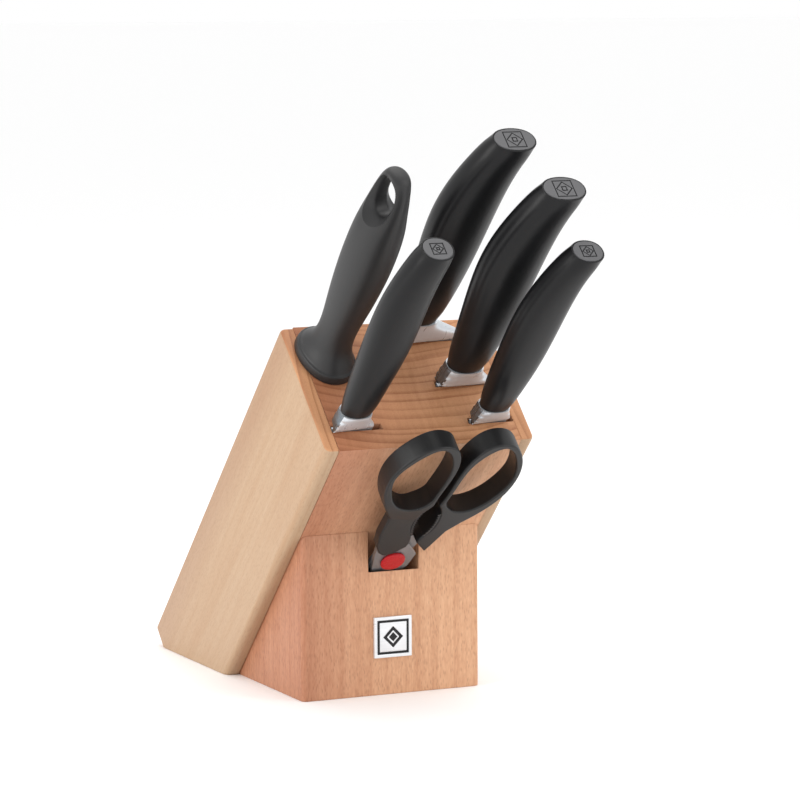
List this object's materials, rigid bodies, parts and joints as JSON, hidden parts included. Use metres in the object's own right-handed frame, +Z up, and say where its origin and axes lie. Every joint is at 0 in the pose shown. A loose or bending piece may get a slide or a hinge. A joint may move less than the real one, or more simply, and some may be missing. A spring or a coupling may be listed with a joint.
{
  "type": "knife block with knives",
  "caption": "Leaning wooden knife block on a wedge foot, holding kitchen knives, a honing steel and a pair of kitchen shears, each of which lifts out.",
  "frame": {"origin": "on the table, midway across the block, where the leaning front face meets the table", "axes": "+X to the right seen from the front, +Y to the back, +Z up"},
  "size_m": [0.1094, 0.3059, 0.2771],
  "materials": {
    "beech": "oiled, satin",
    "badge_metal": "satin",
    "badge_enamel": "gloss enamel",
    "blade_steel": "satin ground",
    "steel_hard": "ribbed along its length",
    "fastener_steel": "turned",
    "handle_plastic": "satin black",
    "cap_plastic": "matte dark grey",
    "steel_grip_plastic": "matte dark grey",
    "shears_plastic": "satin black",
    "red_plastic": "gloss red"
  },
  "bodies": {
    "block": {"side_panel_left": "beech", "side_panel_right": "beech", "core_board_front": "beech", "core_board_middle": "beech", "core_board_rear": "beech", "core_board_back": "beech", "front_support": "beech", "support_dowels": "beech", "badge_plate": "badge_metal", "badge_inlay": "badge_enamel"},
    "paring_knife": {"paring_knife_blade": "blade_steel", "paring_knife_handle": "handle_plastic", "paring_knife_end_cap": "cap_plastic"},
    "utility_knife": {"utility_knife_blade": "blade_steel", "utility_knife_handle": "handle_plastic", "utility_knife_end_cap": "cap_plastic"},
    "carving_knife": {"carving_knife_blade": "blade_steel", "carving_knife_handle": "handle_plastic", "carving_knife_end_cap": "cap_plastic"},
    "chef_knife": {"chef_knife_blade": "blade_steel", "chef_knife_handle": "handle_plastic", "chef_knife_end_cap": "cap_plastic"},
    "steel": {"steel_rod": "steel_hard", "steel_handle": "steel_grip_plastic"},
    "shears": {"shears_rear_blade": "blade_steel", "shears_rear_handle": "shears_plastic", "shears_pivot_screw": "fastener_steel", "shears_washer": "fastener_steel", "shears_nut": "fastener_steel", "shears_screw_cap": "red_plastic"},
    "shears_front_half": {"shears_front_blade": "blade_steel", "shears_front_handle": "shears_plastic"}
  },
  "joints": [
    {"name": "paring_knife_lift", "type": "slide", "parent": "block", "child": "paring_knife", "axis": [0, -0.7034, 0.7108], "range_m": [0, 0.23]},
    {"name": "utility_knife_lift", "type": "slide", "parent": "block", "child": "utility_knife", "axis": [0, -0.7034, 0.7108], "range_m": [0, 0.28]},
    {"name": "carving_knife_lift", "type": "slide", "parent": "block", "child": "carving_knife", "axis": [0, -0.7034, 0.7108], "range_m": [0, 0.345]},
    {"name": "chef_knife_lift", "type": "slide", "parent": "block", "child": "chef_knife", "axis": [0, -0.7034, 0.7108], "range_m": [0, 0.35]},
    {"name": "steel_lift", "type": "slide", "parent": "block", "child": "steel", "axis": [0, -0.7034, 0.7108], "range_m": [0, 0.355]},
    {"name": "shears_lift", "type": "slide", "parent": "block", "child": "shears", "axis": [0, -0.7034, 0.7108], "range_m": [0, 0.28]},
    {"name": "shears_open", "type": "hinge", "parent": "shears", "child": "shears_front_half", "pos_m": [-0.0014, -0.08209, 0.06817], "axis": [0, -0.7108, -0.7034], "range_deg": [0, 45.5]}
  ],
  "couplings": [
    {"joint": "shears_open", "follows": "shears_lift", "rad_per_m": 2.805}
  ]
}
